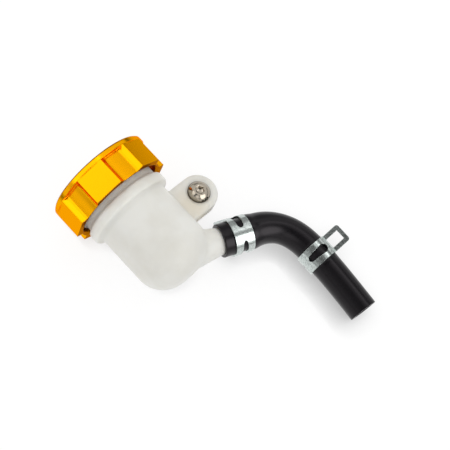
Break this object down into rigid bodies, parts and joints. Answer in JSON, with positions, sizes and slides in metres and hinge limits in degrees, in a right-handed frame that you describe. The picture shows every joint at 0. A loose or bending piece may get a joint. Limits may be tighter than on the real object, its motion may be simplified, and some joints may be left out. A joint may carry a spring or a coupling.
{
  "type": "brake fluid reservoir",
  "caption": "Small round fluid reservoir with a lobed screw cap, a mounting ear with its screw, and a bent rubber hose on a side spigot held by spring band clamps.",
  "frame": {"origin": "on the mounting screw's axis, where its thread starts 0.3 mm beyond the back face of the ear", "axes": "+Z is the way up in use, along the cup and the cap; +Y is the way the mounting screw's threaded end points, into the bracket; +X is the side that the ear, the spigot and the hose point to"},
  "size_m": [0.0826, 0.0448, 0.1119],
  "materials": {
    "milky_nylon": "satin, slightly translucent moulded nylon",
    "sleeve_steel": "turned steel",
    "screw_steel": "polished stainless steel",
    "gold_aluminium": "gold anodised, glossy",
    "plate_plastic": "smooth moulded",
    "soft_rubber": "matte",
    "hose_rubber": "satin extruded",
    "zinc_steel": "bright zinc plated"
  },
  "bodies": {
    "reservoir": {"reservoir_cup": "milky_nylon", "ear_sleeve": "sleeve_steel", "mounting_screw": "screw_steel", "diaphragm": "soft_rubber", "hose": "hose_rubber", "spigot_clamp": "zinc_steel", "hose_clamp": "zinc_steel"},
    "plate": {"slip_plate": "plate_plastic"},
    "cap": {"screw_cap": "gold_aluminium"}
  },
  "joints": [
    {"name": "cap_rise", "type": "slide", "parent": "reservoir", "child": "plate", "axis": [0, 0, 1], "range_m": [0, 0.009]},
    {"name": "cap_turn", "type": "hinge", "parent": "plate", "child": "cap", "pos_m": [-0.0255, -0.0038, 0.02], "axis": [0, 0, 1], "range_deg": [0, 1080]}
  ],
  "couplings": [
    {"joint": "cap_turn", "follows": "cap_rise", "rad_per_m": 2094.4}
  ]
}
